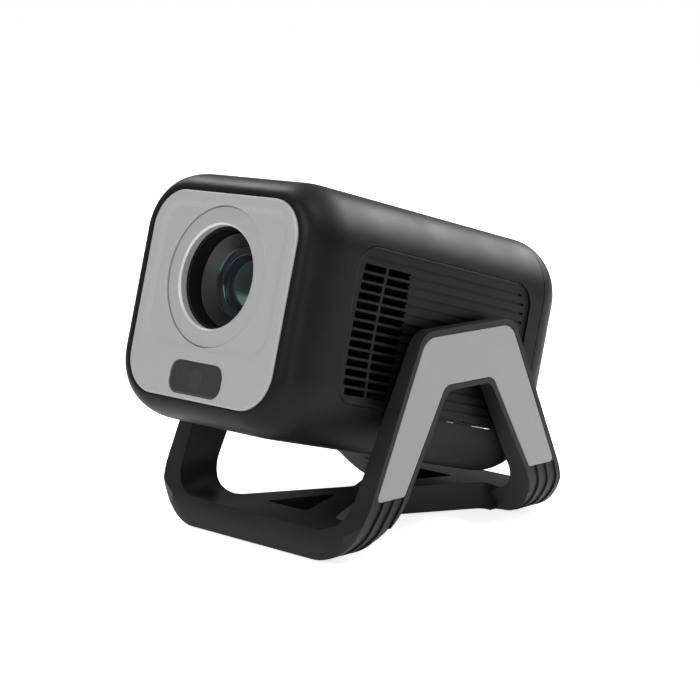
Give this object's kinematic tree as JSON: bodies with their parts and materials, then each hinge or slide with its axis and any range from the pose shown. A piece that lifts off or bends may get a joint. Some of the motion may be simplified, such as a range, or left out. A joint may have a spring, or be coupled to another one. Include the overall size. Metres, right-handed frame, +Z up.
{
  "type": "home projector",
  "caption": "Home video projector: rounded box housing with a front lens, tilting between the arms of a U-shaped desk stand.",
  "frame": {"origin": "on the table, under the middle of the whole object's box with the housing at its rest tilt", "axes": "+Z up, the lens looks along -Y and the hinge line lies along X"},
  "size_m": [0.182, 0.2506, 0.2213],
  "materials": {
    "housing_plastic": "fine spark texture",
    "frame_plastic": "satin moulded",
    "grey_paint": "satin grey paint",
    "steel": "plain",
    "aluminium": "extruded",
    "barrel_black": "satin",
    "lens_glass": "polished, coated",
    "window_pane": "smoked",
    "gear_plastic": "moulded acetal",
    "display_glass": "dark panel",
    "circuit_board": "solder mask",
    "coil_tape": "wound tape",
    "cone_paper": "pressed paper",
    "rubber": "moulded"
  },
  "bodies": {
    "stand": {"stand_frame": "frame_plastic", "inlay_right": "grey_paint", "inlay_left": "grey_paint", "hinge_pin_right": "steel", "hinge_pin_left": "steel", "foot_front_right": "rubber", "foot_rear_right": "rubber", "foot_front_left": "rubber", "foot_rear_left": "rubber"},
    "housing": {"main_shell": "housing_plastic", "front_panel": "grey_paint", "lens_trim_ring": "grey_paint", "rear_cover": "housing_plastic", "grille_right": "housing_plastic", "grille_left": "housing_plastic", "sensor_window": "window_pane", "rear_screw_1": "steel", "rear_screw_2": "steel", "rear_screw_3": "steel", "rear_screw_4": "steel", "friction_washer_right": "steel", "hinge_plate_right": "steel", "friction_washer_left": "steel", "hinge_plate_left": "steel", "lens_hood": "housing_plastic", "focus_motor": "steel", "lens_mount": "housing_plastic", "optical_box": "housing_plastic", "front_fresnel_lens": "lens_glass", "lcd_panel": "display_glass", "rear_fresnel_lens": "lens_glass", "reflector_cone": "aluminium", "led_module": "circuit_board", "heatsink": "aluminium", "fan_frame": "housing_plastic", "main_board": "circuit_board", "processor_heat_spreader": "aluminium", "power_board": "circuit_board", "power_transformer": "coil_tape", "speaker_box_right": "housing_plastic", "speaker_cone_right": "cone_paper", "speaker_box_left": "housing_plastic", "speaker_cone_left": "cone_paper", "distance_sensor": "circuit_board", "power_inlet": "housing_plastic", "video_port": "steel", "usb_port": "steel", "button_switch": "housing_plastic"},
    "lens_barrel": {"lens_barrel": "barrel_black", "front_lens": "lens_glass", "lens_dome": "lens_glass", "rear_lens": "lens_glass"},
    "focus_ring": {"focus_ring_gear": "gear_plastic"},
    "pinion": {"focus_pinion": "gear_plastic"},
    "rotor": {"fan_rotor": "housing_plastic"},
    "button": {"power_button": "grey_paint"}
  },
  "joints": [
    {"name": "tilt", "type": "hinge", "parent": "stand", "child": "housing", "pos_m": [0, 0.01548, 0.115], "axis": [-1, 0, 0], "range_deg": [-27, 6]},
    {"name": "focus_ring_turn", "type": "hinge", "parent": "housing", "child": "focus_ring", "pos_m": [0, -0.06588, 0.15523], "axis": [0, 0.9659, -0.2588], "range_deg": [-60, 60]},
    {"name": "lens_focus", "type": "slide", "parent": "housing", "child": "lens_barrel", "axis": [0, 0.9659, -0.2588], "range_m": [-0.00251, 0.00251]},
    {"name": "pinion_turn", "type": "hinge", "parent": "housing", "child": "pinion", "pos_m": [0.03217, -0.07421, 0.12415], "axis": [0, 0.9659, -0.2588], "range_deg": [-241, 241]},
    {"name": "fan_spin", "type": "hinge", "parent": "housing", "child": "rotor", "pos_m": [0, 0.07901, 0.11641], "axis": [0, 0.9659, -0.2588], "continuous": true},
    {"name": "power_button_press", "type": "slide", "parent": "housing", "child": "button", "axis": [0, -0.9659, 0.2588], "range_m": [0, 0.0012], "stiffness_N_per_m": 400}
  ],
  "couplings": [
    {"joint": "lens_focus", "follows": "focus_ring_turn", "m_per_rad": 0.0023873},
    {"joint": "pinion_turn", "follows": "focus_ring_turn", "ratio": -4}
  ]
}
